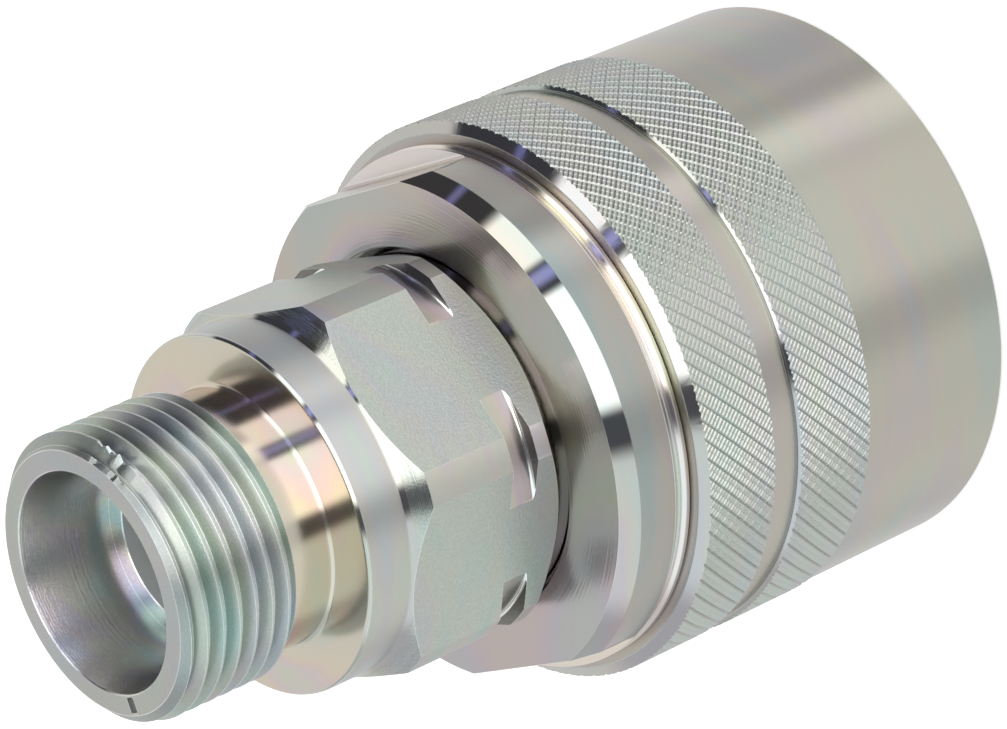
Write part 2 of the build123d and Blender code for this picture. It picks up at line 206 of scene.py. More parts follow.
def grain_group():
    """Fine grain of a plated surface that wasn't polished, and sparse dull specks."""
    tree, given = group("Plated grain", {"Cells per mm": 5.0}, {"Grain": "NodeSocketFloat"})
    place = lathe_frame(tree)[2]
    spot = add(tree, "ShaderNodeVectorMath", {0: place, "Scale": 1 / MM}, operation="SCALE").outputs["Vector"]
    grain = add(tree, "ShaderNodeTexNoise", {"Vector": spot, "Scale": given["Cells per mm"], "Detail": 2.0,
                                             "Roughness": 0.6})
    out = add(tree, "NodeGroupOutput")
    tree.links.new(grain.outputs["Fac"], out.inputs["Grain"])
    return tree


def passivate_group():
    """The faint pink, green, blue and straw bloom of a clear passivated zinc coat, in patches and rings."""
    tree, given = group("Zinc passivate", {"Zinc": (0.5, 0.5, 0.48, 1), "Bloom": 0.5, "Patch": 1.0},
                        {"Color": "NodeSocketColor"})
    round_axis, along, _ = lathe_frame(tree)
    turn = add(tree, "ShaderNodeSeparateXYZ", {0: round_axis}).outputs
    rings = math_node(tree, "MULTIPLY", along, 1 / 5)
    spot = add(tree, "ShaderNodeCombineXYZ", {"X": turn["X"], "Y": turn["Y"], "Z": rings}).outputs[0]
    patches = add(tree, "ShaderNodeTexNoise", {"Vector": spot, "Scale": given["Patch"], "Detail": 2.0,
                                               "Roughness": 0.45, "Distortion": 0.4}).outputs["Fac"]
    ramp = add(tree, "ShaderNodeValToRGB", {"Fac": patches})
    tints = [(0.30, (0.80, 1.04, 1.02, 1)), (0.39, (0.98, 1.04, 0.96, 1)), (0.47, (1.05, 1.03, 0.90, 1)),
             (0.53, (1.06, 0.94, 0.99, 1)), (0.61, (0.94, 0.95, 1.10, 1)), (0.70, (0.88, 1.05, 1.0, 1))]
    points = ramp.color_ramp.elements
    for number, (place, tint) in enumerate(tints):
        point = points[number] if number < 2 else points.new(place)
        point.position = place
        point.color = tint
    bloom = add(tree, "ShaderNodeMix", {"Factor": given["Bloom"], 6: given["Zinc"], 7: ramp.outputs["Color"]},
                data_type="RGBA", blend_type="MULTIPLY", clamp_factor=False)
    out = add(tree, "NodeGroupOutput")
    tree.links.new(bloom.outputs[2], out.inputs["Color"])
    return tree


lathe_marks = lathe_marks_group()
plated_grain = grain_group()
passivate = passivate_group()
# Bright edge colour: rubbed bare zinc on outer edges, and a painted edge highlight on outer and inner edges
# alike.
BARE_EDGE_AND_HIGHLIGHT = (0.92, 0.92, 0.90, 1)


def zinc_plate(name, zinc=(0.47, 0.49, 0.455, 1), bloom=0.6, patch=1.0, rough=0.25, chamfer_rough=None,
               lines=0.3, per_mm=3.0, chamfer_lines=0.2, grain=0.0, cells=5.0, speckle=0.0, edge=0.0,
               anisotropic=0.6):
    """Zinc plated steel: its tint and bloom, its roughness and turning lines on broad faces and on chamfers,
    its grain with light and dark specks, and the width in mm of its bright edges, partly rubbed bare metal
    and partly a painted highlight that also lies in inner corners."""
    material = bpy.data.materials.new(name)
    material.use_nodes = True
    tree = material.node_tree
    shader = tree.nodes["Principled BSDF"]
    coat = add(tree, "ShaderNodeGroup", node_tree=passivate)
    coat.inputs["Zinc"].default_value = zinc
    coat.inputs["Bloom"].default_value = bloom
    coat.inputs["Patch"].default_value = patch
    colour = coat.outputs["Color"]
    marks = add(tree, "ShaderNodeGroup", node_tree=lathe_marks)
    marks.inputs["Lines per mm"].default_value = per_mm
    shader.inputs["Roughness"].default_value = rough
    height = math_node(tree, "MULTIPLY", marks.outputs["Height"], lines)
    grainy = grain
    if chamfer_rough is not None:
        normal = add(tree, "ShaderNodeNewGeometry").outputs["True Normal"]
        tilt = math_node(tree, "ABSOLUTE", add(tree, "ShaderNodeSeparateXYZ", {0: normal}).outputs["Z"])
        rising = add(tree, "ShaderNodeMapRange", {"Value": tilt, "From Min": 0.15, "From Max": 0.25})
        falling = add(tree, "ShaderNodeMapRange", {"Value": tilt, "From Min": 0.985, "From Max": 0.97})
        chamfer = math_node(tree, "MULTIPLY", rising.outputs[0], falling.outputs[0])
        roughness = add(tree, "ShaderNodeMapRange",
                        {"Value": chamfer, "To Min": rough, "To Max": chamfer_rough})
        tree.links.new(roughness.outputs[0], shader.inputs["Roughness"])
        height = math_node(tree, "MULTIPLY", height,
                           math_node(tree, "MULTIPLY_ADD", chamfer, chamfer_lines - 1, 1.0))
        grainy = math_node(tree, "MULTIPLY_ADD", chamfer, -0.9 * grain, grain)
    if grain:
        grains = add(tree, "ShaderNodeGroup", node_tree=plated_grain)
        grains.inputs["Cells per mm"].default_value = cells
        height = math_node(tree, "MULTIPLY_ADD", grains.outputs["Grain"], grainy, height)
        if speckle:
            shade = math_node(tree, "MULTIPLY_ADD", grains.outputs["Grain"], speckle, 1 - speckle / 2)
            colour = add(tree, "ShaderNodeVectorMath", {0: colour, 1: shade}, operation="MULTIPLY").outputs[0]
    # Where the Bevel node's rounded normal parts from the true normal the colour turns bright: rubbed bare
    # metal on outer edges, and a painted highlight that also lands in inner corners.
    if edge:
        rounded = add(tree, "ShaderNodeBevel", {"Radius": edge * MM}, samples=6).outputs[0]
        sharp = add(tree, "ShaderNodeNewGeometry").outputs["Normal"]
        same = add(tree, "ShaderNodeVectorMath", {0: rounded, 1: sharp}, operation="DOT_PRODUCT")
        rubbed_and_highlit = add(tree, "ShaderNodeMapRange",
                     {"Value": same.outputs["Value"], "From Min": 0.99, "From Max": 0.93})
        colour = add(tree, "ShaderNodeMix", {"Factor": rubbed_and_highlit.outputs[0], 6: colour, 7: BARE_EDGE_AND_HIGHLIGHT},
                     data_type="RGBA").outputs[2]
    tree.links.new(colour, shader.inputs["Base Color"])
    bump = add(tree, "ShaderNodeBump", {"Height": height, "Strength": 1.0, "Distance": 0.01 * MM})
    tree.links.new(bump.outputs[0], shader.inputs["Normal"])
    shader.inputs["Metallic"].default_value = 1.0
    if anisotropic:
        shader.inputs["Anisotropic"].default_value = anisotropic
        shader.inputs["Anisotropic Rotation"].default_value = 0.25
        tangent = add(tree, "ShaderNodeTangent", direction_type="RADIAL", axis="Z")
        tree.links.new(tangent.outputs[0], shader.inputs["Tangent"])
    return material


flange_steel = zinc_plate("flange_zinc", zinc=(0.51, 0.48, 0.465, 1), bloom=0.7, patch=0.7, rough=0.25,
                          chamfer_rough=0.06, lines=2.0, per_mm=5.0, chamfer_lines=0.05, edge=0.1)

NOSE, NOSE_FOOT = 19.0, 4.0
NOSE_RING_FLOOR, NOSE_RING_FOOT, NOSE_RING_TOP = 16.8, 12.0, 15.8
BARREL = 21.0
CIRCLIP_FLOOR, CIRCLIP_FOOT, CIRCLIP_TOP = 19.8, 30.2, 31.7
DUST_RING_FLOOR, DUST_RING_FOOT, DUST_RING_TOP = 18.75, 35.7, 38.3
GUIDE_BORE = 15.0
GUIDE_CLIP_FLOOR, GUIDE_CLIP_FOOT, GUIDE_CLIP_TOP = 16.0, 31.5, 32.7
BODY_FOOT = 43.1
WIPER_TOP = 44.0
BAND_FOOT = 44.25
BAND_TOP = 49.7
FACE = 51.65
FLANGE = 27.9
valve_body = turned("flange_and_nose", [
    (11.0, NOSE_FOOT), (NOSE - 1, NOSE_FOOT), (NOSE, NOSE_FOOT + 1),
    (NOSE, NOSE_RING_FOOT), (NOSE_RING_FLOOR, NOSE_RING_FOOT),
    (NOSE_RING_FLOOR, NOSE_RING_TOP), (NOSE, NOSE_RING_TOP), (NOSE, 25.2), (BARREL, 27.2),
    (BARREL, CIRCLIP_FOOT), (CIRCLIP_FLOOR, CIRCLIP_FOOT),
    (CIRCLIP_FLOOR, CIRCLIP_TOP), (BARREL, CIRCLIP_TOP),
    (BARREL, DUST_RING_FOOT), (DUST_RING_FLOOR, DUST_RING_FOOT),
    (DUST_RING_FLOOR, DUST_RING_TOP), (BARREL, DUST_RING_TOP), (BARREL, 44.1), (25.0, 44.1),
    (25.0, BODY_FOOT), (26.0, BODY_FOOT), (26.0, WIPER_TOP), (27.45, WIPER_TOP), (27.45, BAND_FOOT + 0.09),
    (27.67, BAND_FOOT + 0.23), (27.84, BAND_FOOT + 0.49), (FLANGE, BAND_FOOT + 0.8),
    (FLANGE, BAND_TOP), (26.8, FACE), (19.7, FACE), (18.75, 50.7), (18.75, 47.5),
    (17.05, 47.5), (17.05, 39.5), (15.5, 39.5), (15.5, 33.5), (GUIDE_BORE, 33.5),
    (GUIDE_BORE, GUIDE_CLIP_TOP), (GUIDE_CLIP_FLOOR, GUIDE_CLIP_TOP),
    (GUIDE_CLIP_FLOOR, GUIDE_CLIP_FOOT), (GUIDE_BORE, GUIDE_CLIP_FOOT),
    (GUIDE_BORE, 28.0), (14.0, 28.0), (14.0, 10.5), (11.0, 7.5)])
break_edges(valve_body, 0.1, 48, 60)
WRENCH_FLAT = 25.5
for side in (1, -1):
    only(valve_body)
    bpy.ops.mesh.primitive_cube_add(size=1, location=(0, side * (WRENCH_FLAT + 5) * MM,
                                                      (BAND_FOOT + 5.7) * MM))
    cutter = bpy.context.object
    cutter.scale = (60 * MM, 10 * MM, 10 * MM)
    bpy.ops.object.transform_apply(location=True, rotation=False, scale=True)
    break_edges(cutter, 0.5, segments=4)
    carve(valve_body, cutter)
soften(valve_body, 26)
fit(valve_body, "coupling_body", "plated_steel", flange_steel, "valve_body")
rim_steel = zinc_plate("flange_rim_zinc", zinc=(0.41, 0.39, 0.39, 1), bloom=0.8, patch=0.7, rough=0.25,
                       lines=0.3)
finish_part(valve_body, rim_steel, FLANGE - 0.02, FLANGE + 0.1, BAND_FOOT + 0.7, BAND_TOP)
# Painted light: the flange's underside and foot rounding get a lighter zinc than the flange, lifting the
# shade in the gap above the wiper ring.
foot_painted_light_steel = zinc_plate("flange_foot_painted_light_zinc", zinc=(0.76, 0.73, 0.66, 1), bloom=0.6, rough=0.2, lines=0.2)
finish_part(valve_body, foot_painted_light_steel, 25.9, FLANGE - 0.01, WIPER_TOP - 0.6, BAND_FOOT + 0.8)


# Wiper ring.
# A thin turned ring with rounded rims, pushed on behind the flange close to the sleeve's nose.
WIPER = 27.9
wiper = turned("wiper_ring_trim", [
    (26.0, 42.83), (27.45, 42.83), (27.62, 42.86), (27.77, 42.96), (27.87, 43.11), (WIPER, 43.28),
    (WIPER, 43.55), (27.87, 43.72), (27.77, 43.87), (27.62, 43.97), (27.45, WIPER_TOP), (26.0, WIPER_TOP)])
soften(wiper, 60)
# Painted light: the ring's zinc is lighter than the flange's, lifting the shade in the narrow gap between
# flange and sleeve.
wiper_painted_light_steel = zinc_plate("wiper_ring_painted_light_zinc", zinc=(0.76, 0.74, 0.68, 1), bloom=0.6, rough=0.2,
                        chamfer_rough=0.12, lines=0.1)
fit(wiper, "coupling_body", "plated_steel", wiper_painted_light_steel, "wiper_ring")


# End adapter.
# A turned and milled steel piece, zinc plated, screwed into the body: core of the port thread, neck, band and
# hexagon. A groove runs through the hexagon's corners, and a short dash is stamped into the port's face.
HEX_FOOT = 52.5
HEX_TOP = 71.4
HEX_SIZE = 38.0
HEX_CORNER = 21.0
HEX_TURN = -6.1
GROOVE, GROOVE_FOOT, GROOVE_TOP = 19.5, 56.0, 59.2
BAND, BAND_END = 18.85, 76.85
NECK = 13.45
BORE = 8.0
THREAD_FOOT = 82.0
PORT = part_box("end_adapter")[1].z / MM
adapter = turned("hexagon_adapter", [
    (12.0, 33.55), (15.45, 33.55), (15.45, 34.6), (13.1, 34.6), (13.1, 38.4), (15.45, 38.4), (15.45, 39.55),
    (17.0, 39.55), (17.0, 47.55), (18.7, 47.55), (18.7, HEX_FOOT), (19.0, HEX_FOOT),
    (HEX_CORNER, HEX_FOOT + 1.7), (HEX_CORNER, GROOVE_FOOT),
    (19.8, GROOVE_FOOT), (19.59, 56.09), (GROOVE, 56.3), (GROOVE, GROOVE_TOP),
    (HEX_CORNER, GROOVE_TOP), (HEX_CORNER, HEX_TOP - 1.85), (19.25, HEX_TOP - 0.34),
    (18.99, HEX_TOP - 0.1), (18.87, HEX_TOP + 0.15), (BAND, HEX_TOP + 0.4), (BAND, BAND_END - 0.45),
    (18.78, BAND_END - 0.2), (18.63, BAND_END - 0.05), (18.4, BAND_END), (14.1, BAND_END),
    (13.78, BAND_END + 0.09), (13.54, BAND_END + 0.33), (NECK, BAND_END + 0.65), (NECK, THREAD_FOOT),
    (NECK, PORT - 0.3), (13.6, PORT), (11.55, PORT), (11.43, PORT - 0.1), (10.0, PORT - 6.8),
    (10.0, PORT - 10.0), (8.1, PORT - 10.0), (BORE, PORT - 10.1), (BORE, 49.55), (12.0, 45.55)])
bpy.ops.mesh.primitive_cylinder_add(vertices=6, radius=HEX_SIZE / math.sqrt(3) * MM, depth=60 * MM)
prism = bpy.context.object
bpy.ops.mesh.primitive_cylinder_add(vertices=64, radius=30 * MM, depth=(HEX_TOP - HEX_FOOT) * MM)
shell = bpy.context.object
carve(shell, prism)
shell.data.transform(Matrix.Translation((0, 0, (HEX_TOP + HEX_FOOT) / 2 * MM))
                     @ Matrix.Rotation(math.radians(HEX_TURN + 90), 4, "Z"))
carve(adapter, shell)
break_edges(adapter, 0.25, 52, 55.5, 3)
break_edges(adapter, 0.1, 55.6, 71.5)
bpy.ops.mesh.primitive_cube_add(size=1)
dash = bpy.context.object
dash.name = "dash_stamp"
dash.data.transform(Matrix.Rotation(math.radians(-92.6), 4, "Z")
                    @ Matrix.Translation((12.55 * MM, 0, PORT * MM))
                    @ Matrix.Diagonal((1.75 * MM, 1.05 * MM, 0.8 * MM, 1)))
break_edges(dash, 0.22, segments=3)
carve(adapter, dash)
soften(adapter, 26)
hexagon_steel = zinc_plate("hexagon_zinc", zinc=(0.48, 0.51, 0.48, 1), bloom=0.4, rough=0.32,
                           chamfer_rough=0.12, lines=0.15, per_mm=7.0, chamfer_lines=60.0, grain=3.0,
                           cells=4.0, speckle=0.4, edge=0.1, anisotropic=0.0)
fit(adapter, "coupling_body", "plated_steel", hexagon_steel, "end_adapter")
band_steel = zinc_plate("band_zinc", zinc=(0.50, 0.515, 0.485, 1), bloom=0.5, rough=0.34, chamfer_rough=0.1,
                        lines=0.25, edge=0.12)
finish_part(adapter, band_steel, 18.3, 19.24, HEX_TOP - 0.4, BAND_END + 0.01)
face_steel = zinc_plate("face_zinc", zinc=(0.45, 0.475, 0.455, 1), bloom=0.4, rough=0.3, lines=0.4, grain=1.0,
                        speckle=0.2, edge=0.1)
finish_part(adapter, face_steel, 11.3, 14, PORT - 0.35, PORT + 1)
neck_steel = zinc_plate("neck_zinc", zinc=(0.66, 0.60, 0.53, 1), bloom=0.6, patch=0.8, rough=0.15, lines=0.15)
shank_steel = zinc_plate("shank_zinc", zinc=(0.46, 0.46, 0.47, 1), bloom=0.6, rough=0.12, lines=0.3)
finish_part(adapter, shank_steel, 18.6, 18.95, 47.0, HEX_FOOT)
finish_part(adapter, neck_steel, 13.2, 18.6, BAND_END - 0.04, THREAD_FOOT + 0.1)
# Painted shade: the groove's lower wall is made dark for the shade inside the groove, with dark grain specks
# on it.
groove_wall_shade_steel = zinc_plate("groove_wall_painted_shade", zinc=(0.20, 0.20, 0.19, 1), bloom=0.3, rough=0.3, lines=0.5,
                        grain=3.0, speckle=1.2)
finish_part(adapter, groove_wall_shade_steel, GROOVE + 0.02, 21.9, GROOVE_FOOT - 0.02, GROOVE_FOOT + 0.02)
# Painted highlight: near-white zinc on the rounded inner corner at the groove's foot, standing for a bright
# line of reflected light.
groove_fillet_highlight_steel = zinc_plate("groove_fillet_painted_highlight", zinc=(0.90, 0.90, 0.88, 1), bloom=0.0, rough=0.15, lines=0.3)
finish_part(adapter, groove_fillet_highlight_steel, GROOVE + 0.005, 19.81, GROOVE_FOOT + 0.005, GROOVE_FOOT + 0.29)
# Its bright edge colour paints a highlight into the groove's inner corners.
groove_steel = zinc_plate("corner_groove_zinc", zinc=(0.50, 0.48, 0.47, 1), bloom=1.0, rough=0.22, lines=0.5,
                          edge=0.15)
finish_part(adapter, groove_steel, 19.0, GROOVE + 0.01, GROOVE_FOOT + 0.3, GROOVE_TOP)
corner_steel = zinc_plate("corner_zinc", zinc=(0.57, 0.565, 0.55, 1), bloom=0.7, rough=0.5, lines=0.2,
                          grain=1.0)
finish_part(adapter, corner_steel, HEX_CORNER - 0.12, HEX_CORNER + 0.01, HEX_FOOT + 1.8, HEX_TOP - 1.95)
# The mouth's grain and specks are the metal's own; its zinc is lighter than the adapter's, a painted light
# that lifts the shade inside the mouth.
mouth_steel = zinc_plate("mouth_painted_light_zinc", zinc=(0.62, 0.63, 0.635, 1), bloom=0.8, rough=0.24, lines=1.2,
                         per_mm=5.0, grain=1.8, cells=6.0, speckle=0.7, edge=0.1, anisotropic=0.5)
finish_part(adapter, mouth_steel, 7.0, 11.5, 45.0, PORT - 0.05)


def plain(name, colour, roughness, metallic=0.0):
    """A material with one colour and one roughness all over."""
    material = bpy.data.materials.new(name)
    material.use_nodes = True
    shader = material.node_tree.nodes["Principled BSDF"]
    shader.inputs["Base Color"].default_value = colour
    shader.inputs["Roughness"].default_value = roughness
    shader.inputs["Metallic"].default_value = metallic
    return material


# Painted light: the deep bore gets a light, mostly non-metallic finish, so that it shows pale instead of the
# shade deep inside it.
finish_part(adapter, plain("bore_painted_light", (0.62, 0.64, 0.63, 1), 0.35, 0.3), 7.0, 8.02, 45.0, PORT - 10.1)
finish_part(adapter, plain("stamp_shade", (0.13, 0.13, 0.12, 1), 0.7), 11.6, 13.44, PORT - 0.6, PORT - 0.012)


# Port thread.
# The adapter's metric thread, cut as a right-hand helix and chamfered at its start, with a few knocks there.
def threaded_rod(name, crest, pitch, foot, top, turn=0.0, steps=160):
    """A closed rod with a 60 degree right-hand thread, sizes in mm."""
    depth = 0.6134 * pitch
    root = crest - depth
    flank = depth * math.tan(math.radians(30))
    flat = pitch / 8
    land = pitch - flat - 2 * flank
    outline = [(root, 0), (root + 0.02, land / 2 - 0.02), (root + 0.1, land / 2 + 0.06),
               (crest - 0.06, land / 2 + flank - 0.035), (crest, land / 2 + flank + 0.02),
               (crest, land / 2 + flank + flat - 0.02), (crest - 0.06, land / 2 + flank + flat + 0.035),
               (root + 0.1, pitch - land / 2 - 0.06), (root + 0.02, pitch - land / 2 + 0.02), (root, pitch)]
    start = foot - 1.5 * pitch
    turns = math.ceil((top - foot) / pitch) + 3
    bpy.ops.object.select_all(action="DESELECT")
    bpy.ops.mesh.primitive_circle_add(vertices=len(outline), radius=MM)
    rod = bpy.context.object
    rod.name = name
    for vertex, (radius, height) in zip(rod.data.vertices, outline):
        vertex.co = (radius * MM, 0, (start + height) * MM)
    bpy.ops.object.mode_set(mode="EDIT")
    bpy.ops.mesh.select_all(action="DESELECT")
    bpy.ops.object.mode_set(mode="OBJECT")
    closing = [edge for edge in rod.data.edges if set(edge.vertices) == {0, len(outline) - 1}]
    closing[0].select = True
    bpy.ops.object.mode_set(mode="EDIT")
    bpy.ops.mesh.select_mode(type="EDGE")
    bpy.ops.mesh.delete(type="EDGE")
    bpy.ops.mesh.select_mode(type="VERT")
    bpy.ops.object.mode_set(mode="OBJECT")
    apply_modifier(rod, "SCREW", axis="Z", angle=math.tau, screw_offset=pitch * MM, iterations=turns,
                   steps=steps, render_steps=steps, use_merge_vertices=True, merge_threshold=0.001 * MM)
    for height, outward in ((foot, -1), (top, 1)):
        bpy.ops.object.mode_set(mode="EDIT")
        bpy.ops.mesh.select_all(action="SELECT")
        bpy.ops.mesh.bisect(plane_co=(0, 0, height * MM), plane_no=(0, 0, outward), use_fill=True,
                            clear_outer=True, threshold=0.00001 * MM)
        bpy.ops.object.mode_set(mode="OBJECT")
    bpy.ops.object.mode_set(mode="EDIT")
    bpy.ops.mesh.select_all(action="SELECT")
    bpy.ops.mesh.remove_doubles(threshold=0.0005 * MM)
    bpy.ops.mesh.normals_make_consistent(inside=False)
    bpy.ops.object.mode_set(mode="OBJECT")
    rod.data.transform(Matrix.Rotation(math.radians(turn), 4, "Z"))
    return rod


THREAD, THREAD_PITCH = 15.0, 2.0
KNOCKS_AT, KNOCKS_REACH, KNOCKS_FOOT, KNOCK_DEPTH = 50, 18, 93.0, 1.1
port_thread = threaded_rod("port_thread_turns", THREAD, THREAD_PITCH, THREAD_FOOT - 3, PORT + 3, -144)
blank = turned("port_blank", [(13.3, THREAD_FOOT), (13.9, THREAD_FOOT), (THREAD, THREAD_FOOT + 0.6),
                              (THREAD, PORT - 1.4), (13.62, PORT - 0.02), (13.3, PORT - 0.02)], 160)
carve(port_thread, blank, "INTERSECT")
for vertex in port_thread.data.vertices:
    angle = math.degrees(math.atan2(vertex.co.y, vertex.co.x))
    beside = max(0, 1 - ((angle - KNOCKS_AT) / KNOCKS_REACH) ** 2)
    knocked = beside * max(0, min(1, (vertex.co.z / MM - KNOCKS_FOOT) / 0.6))
    if vertex.co.xy.length > 13.9 * MM:
        knock = KNOCK_DEPTH * knocked * max(0, noise.noise(vertex.co / (0.75 * MM)) + 0.15)
        vertex.co.x *= 1 - knock / THREAD
        vertex.co.y *= 1 - knock / THREAD
soften(port_thread, 26)
thread_steel = zinc_plate("thread_zinc", zinc=(0.47, 0.515, 0.49, 1), bloom=0.6, patch=0.8, rough=0.32,
                          lines=0.3, grain=1.6, speckle=0.4, edge=0.1, anisotropic=0.3)
fit(port_thread, "coupling_body", "plated_steel", thread_steel)
start_steel = zinc_plate("thread_start_zinc", zinc=(0.38, 0.42, 0.39, 1), bloom=0.4, rough=0.42, lines=0.6,
                         grain=2.0, speckle=0.4, edge=0.1)
finish_part(port_thread, start_steel, 13.6, 15.1, PORT - 1.42, PORT)


# Union sleeve.
# Turned steel, zinc plated, with two rolled diamond knurls, a smooth land and the union's thread inside its
# mouth. It turns on the barrel, between a circlip and the thrust washer.
KNURL = 30.0
KNURL_STARTS = 92
LAND = 29.75
GRIP_GROOVE = 29.35
sleeve_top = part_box("union_sleeve")[1].z / MM


def groove_lines(pitch, grooves):
    """Places and depths across one knurl cell: each groove is (its share of the pitch, half width, depth)."""
    lines = []
    for share, half_width, depth in grooves:
        middle = share * pitch
        lines += [(middle - half_width, 0.0), (middle, -depth), (middle + half_width, 0.0)]
    return lines


def knurled_ring(name, blank_outline):
    """A ring with a diamond knurl: one cell with its grooves, repeated along and round, rolled up, closed and
    trimmed to a turned blank with this outline. Sizes in mm."""
    foot = min(height for _, height in blank_outline) - 0.3
    top = max(height for _, height in blank_outline) + 0.3
    across = math.tau * KNURL / KNURL_STARTS
    pitch = across / math.sqrt(2)
    rows = math.ceil((top - foot) / (across / 2)) + 3
    fine = groove_lines(pitch, [(1 / 6, 0.14, 0.12), (3 / 6, 0.12, 0.09), (5 / 6, 0.12, 0.09)])
    coarse = groove_lines(pitch, [(1 / 4, 0.17, 0.17), (3 / 4, 0.07, 0.05)])
    bpy.ops.object.select_all(action="DESELECT")
    bpy.ops.mesh.primitive_grid_add(x_subdivisions=len(fine), y_subdivisions=len(coarse), size=1)
    ring = bpy.context.object
    ring.name = name
    columns, lines = fine + [(fine[0][0] + pitch, 0.0)], coarse + [(coarse[0][0] + pitch, 0.0)]
    half = math.sqrt(0.5)
    for number, vertex in enumerate(ring.data.vertices):
        (along, fine_depth) = columns[number % len(columns)]
        (aside, coarse_depth) = lines[number // len(columns)]
        vertex.co = ((along - aside) * half * MM, (along + aside) * half * MM,
                     min(fine_depth, coarse_depth) * MM)
    for count, shift in ((rows, (across / 2, across / 2, 0)), (KNURL_STARTS, (across, 0, 0))):
        apply_modifier(ring, "ARRAY", count=count, use_relative_offset=False, use_constant_offset=True,
                       constant_offset_displace=Vector(shift) * MM, use_merge_vertices=True,
                       merge_threshold=0.001 * MM)
    for vertex in ring.data.vertices:
        angle = vertex.co.x / (KNURL * MM)
        height = vertex.co.y + (foot - across) * MM
        radius = KNURL * MM + vertex.co.z
        vertex.co = (radius * math.cos(angle), radius * math.sin(angle), height)
    bpy.ops.object.mode_set(mode="EDIT")
    bpy.ops.mesh.select_all(action="SELECT")
    bpy.ops.mesh.remove_doubles(threshold=0.002 * MM)
    for height, outward in ((foot, -1), (top, 1)):
        bpy.ops.mesh.select_all(action="SELECT")
        bpy.ops.mesh.bisect(plane_co=(0, 0, height * MM), plane_no=(0, 0, outward), clear_outer=True,
                            threshold=0.00001 * MM)
    bpy.ops.mesh.select_all(action="SELECT")
    bpy.ops.mesh.remove_doubles(threshold=0.002 * MM)
    bpy.ops.mesh.select_all(action="DESELECT")
    bpy.ops.mesh.select_non_manifold(extend=False)
    bpy.ops.mesh.extrude_edges_move()
    bpy.ops.transform.resize(value=(0.9, 0.9, 1), center_override=(0, 0, 0))
    bpy.ops.mesh.bridge_edge_loops()
    bpy.ops.mesh.select_all(action="SELECT")
    bpy.ops.mesh.normals_make_consistent(inside=False)
    bpy.ops.object.mode_set(mode="OBJECT")
    carve(ring, turned("knurl_blank", blank_outline, 184), "INTERSECT")
    return ring


lower_knurl = knurled_ring("lower_knurl", [(28.5, 19.72), (29.77, 19.72), (30.05, 20.0), (30.065, 29.52),
                                           (29.7, 29.8), (29.45, 29.88), (28.5, 29.88)])
upper_knurl = knurled_ring("upper_knurl", [(27.3, 33.32), (30.05, 33.32), (30.05, 42.12), (28.83, 42.78),
                                           (27.3, 42.78)])
sleeve = turned("knurled_sleeve", [
    (27.0, 0), (29.35, 0), (LAND, 0.4), (LAND, 19.71), (29.4, 19.8), (29.4, 29.8), (29.36, 29.87),
    (GRIP_GROOVE, 29.9), (GRIP_GROOVE, 33.32), (29.3, 33.4), (29.3, 42.0), (28.7, sleeve_top - 0.1),
    (28.7, sleeve_top), (21.55, sleeve_top), (21.05, 42.3), (21.05, 32.5), (21.55, 32.0), (26.3, 32.0),
    (26.3, 28.4), (24.4, 26.5), (24.4, 2.6)])
break_edges(sleeve, 0.12, -1, 1)
carve(sleeve, threaded_rod("union_rod", 26.0, 3.0, -3.0, 30.0))
soften(sleeve, 26)
sleeve_steel = zinc_plate("sleeve_zinc", zinc=(0.47, 0.46, 0.42, 1), bloom=0.5, patch=0.7, rough=0.26,
                          lines=0.35, per_mm=2.0, anisotropic=0.7)
fit(sleeve, "sleeve", "plated_steel", sleeve_steel, "union_sleeve")
knurl_steel = zinc_plate("knurl_zinc", zinc=(0.50, 0.52, 0.49, 1), bloom=0.3, rough=0.42, lines=0.0,
                         grain=0.6, anisotropic=0.0)
nose_steel = zinc_plate("nose_chamfer_zinc", zinc=(0.50, 0.50, 0.49, 1), bloom=0.4, rough=0.07, lines=0.1)
for ring, low, high in ((lower_knurl, 29.5, 29.88), (upper_knurl, 42.1, 42.78)):
    soften(ring, 20)
    fit(ring, "sleeve", "plated_steel", knurl_steel)
    ring.data.materials.append(nose_steel)
    for face in ring.data.polygons:
        if low < face.center.z / MM < high and abs(face.normal.z) > 0.6:
            face.material_index = 1


# Inner pieces.
# The poppet valve with its spring, guide and circlips sits inside the nose and the adapter.
inner_steel = zinc_plate("inner_zinc", bloom=0.3, rough=0.3, lines=0.1)
for name in ("poppet", "seal_retainer", "retainer_nut", "valve_guide", "spring_washer", "valve_spring",
             "sleeve_circlip", "guide_circlip", "stem_circlip"):
    nodes[name].data.materials.clear()
    nodes[name].data.materials.append(inner_steel)

for material, names in ((plain("nitrile", (0.02, 0.02, 0.02, 1), 0.5),
                         ("adapter_o_ring", "nose_o_ring", "dust_o_ring")),
                        (plain("ptfe", (0.75, 0.75, 0.72, 1), 0.4),
                         ("adapter_backup_ring", "nose_backup_ring")),
                        (plain("seal_polymer", (0.05, 0.09, 0.07, 1), 0.4), ("poppet_seal",)),
                        (plain("bronze", (0.42, 0.26, 0.12, 1), 0.35, 1.0), ("thrust_washer", "guide_bush"))):
    for name in names:
        nodes[name].data.materials.clear()
        nodes[name].data.materials.append(material)


